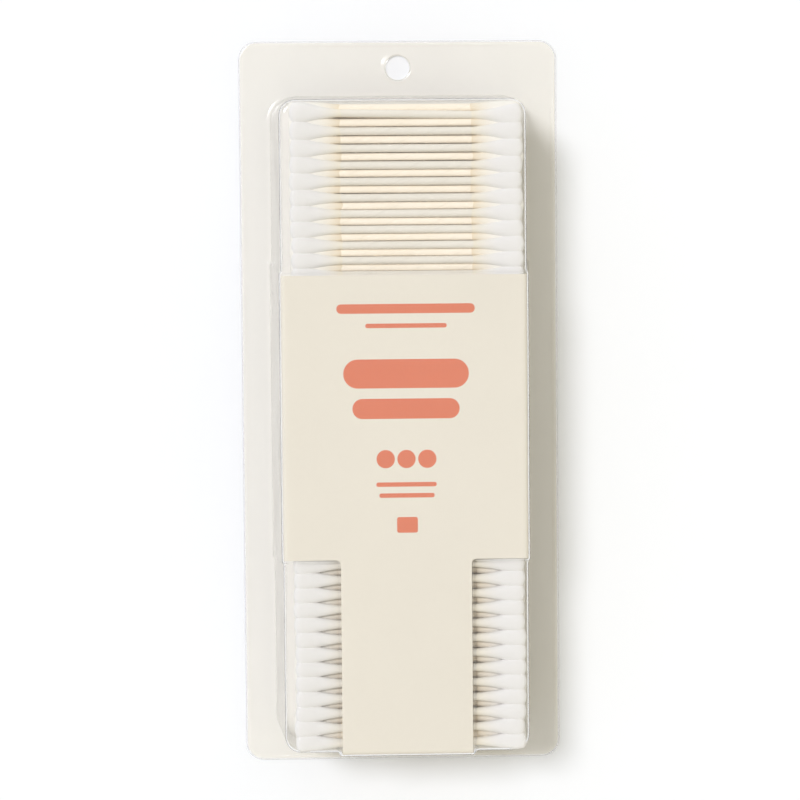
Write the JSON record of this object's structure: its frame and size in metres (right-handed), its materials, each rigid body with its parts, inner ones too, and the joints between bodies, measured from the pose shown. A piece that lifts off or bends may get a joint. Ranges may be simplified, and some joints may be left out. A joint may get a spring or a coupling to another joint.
{
  "type": "cotton swab box",
  "caption": "Clear blister pack on a hanging card, filled with layers of double-ended paper-stick cotton swabs behind a plain T-shaped label card.",
  "frame": {"origin": "centre of the pack's footprint on the plane of the backing card's hidden side, with the pack lying on its back", "axes": "+X across the pack to the right of someone who reads the label, +Y along the pack towards the hang hole, +Z out of the face of the blister"},
  "size_m": [0.106, 0.2414, 0.0499],
  "materials": {
    "card": "smooth uncoated board",
    "clear_film": "clear thermoformed plastic, glossy",
    "label": "smooth printed card",
    "paper_stick": "rolled paper",
    "cotton": "soft cotton"
  },
  "bodies": {
    "root": {"backing_card": "card", "clear_blister": "clear_film", "label_card": "label", "top_paper_sticks": "paper_stick", "top_cotton_tips": "cotton", "lower_paper_sticks": "paper_stick", "lower_cotton_tips": "cotton"}
  },
  "joints": []
}
